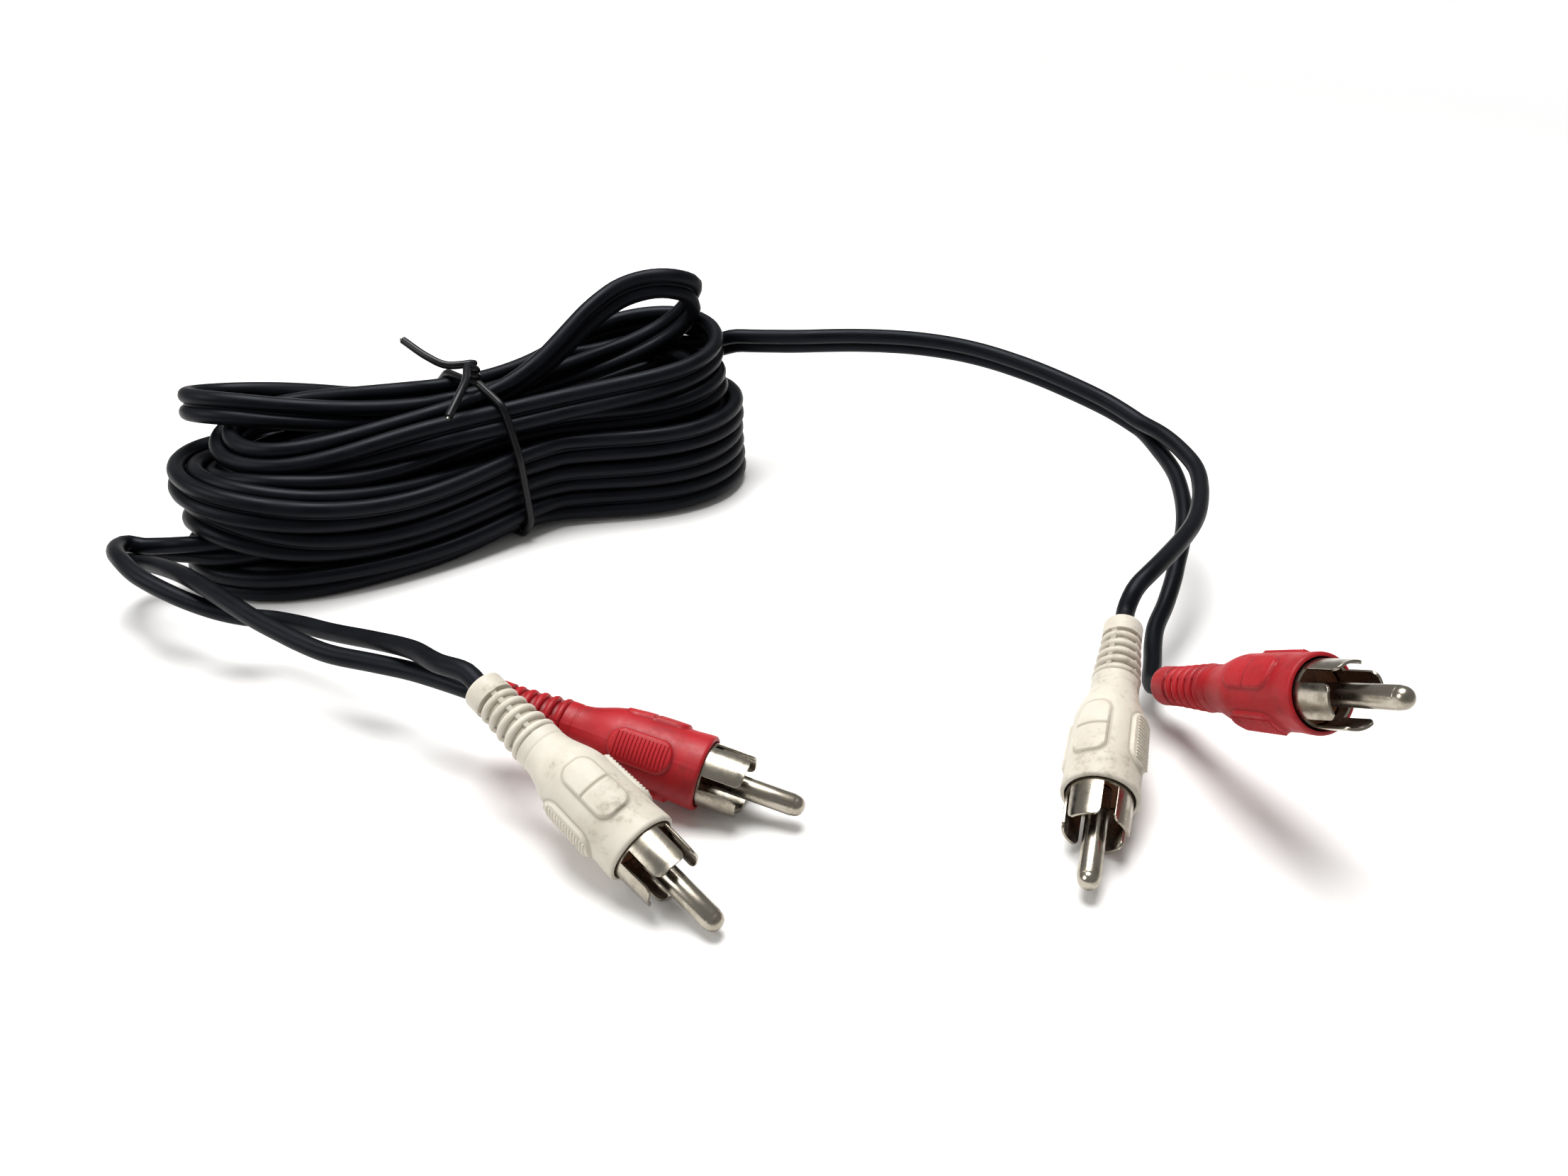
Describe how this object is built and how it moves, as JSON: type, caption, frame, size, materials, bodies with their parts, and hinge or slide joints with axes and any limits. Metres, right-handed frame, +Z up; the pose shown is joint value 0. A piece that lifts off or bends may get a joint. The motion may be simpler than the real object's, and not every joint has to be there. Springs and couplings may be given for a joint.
{
  "type": "stereo audio cable",
  "caption": "Twin audio lead wound into a tied hank, with a white and a red plug on short split leads at each end.",
  "frame": {"origin": "under the middle of the whole lead, on the surface that it lies on", "axes": "+Z up, +X along the longer side of the laid-out lead, -Y towards the side that its plugs point to"},
  "size_m": [0.194, 0.1432, 0.0462],
  "materials": {
    "black_pvc": "satin black PVC jacket",
    "tie_pvc": "black PVC coated wire",
    "white_pvc": "off-white moulded PVC, slightly grubby",
    "red_pvc": "red moulded PVC",
    "nickel_plate": "worn nickel plate",
    "brown_phenolic": "brown phenolic board",
    "core_insulation": "natural polyethylene",
    "copper_wire": "bare copper strands"
  },
  "bodies": {
    "root": {"cable_hank": "black_pvc", "wire_tie": "tie_pvc", "raised_loop": "black_pvc", "left_twin_cable": "black_pvc", "right_twin_cable": "black_pvc", "left_white_lead": "black_pvc", "left_red_lead": "black_pvc", "right_white_lead": "black_pvc", "right_red_lead": "black_pvc", "left_white_boot": "white_pvc", "left_white_ground_shell": "nickel_plate", "left_white_insulator": "brown_phenolic", "left_white_centre_pin": "nickel_plate", "left_white_core_wire": "core_insulation", "left_white_shield_tail": "copper_wire", "left_red_boot": "red_pvc", "left_red_ground_shell": "nickel_plate", "left_red_insulator": "brown_phenolic", "left_red_centre_pin": "nickel_plate", "left_red_core_wire": "core_insulation", "left_red_shield_tail": "copper_wire", "right_white_boot": "white_pvc", "right_white_ground_shell": "nickel_plate", "right_white_insulator": "brown_phenolic", "right_white_centre_pin": "nickel_plate", "right_white_core_wire": "core_insulation", "right_white_shield_tail": "copper_wire", "right_red_boot": "red_pvc", "right_red_ground_shell": "nickel_plate", "right_red_insulator": "brown_phenolic", "right_red_centre_pin": "nickel_plate", "right_red_core_wire": "core_insulation", "right_red_shield_tail": "copper_wire"}
  },
  "joints": []
}
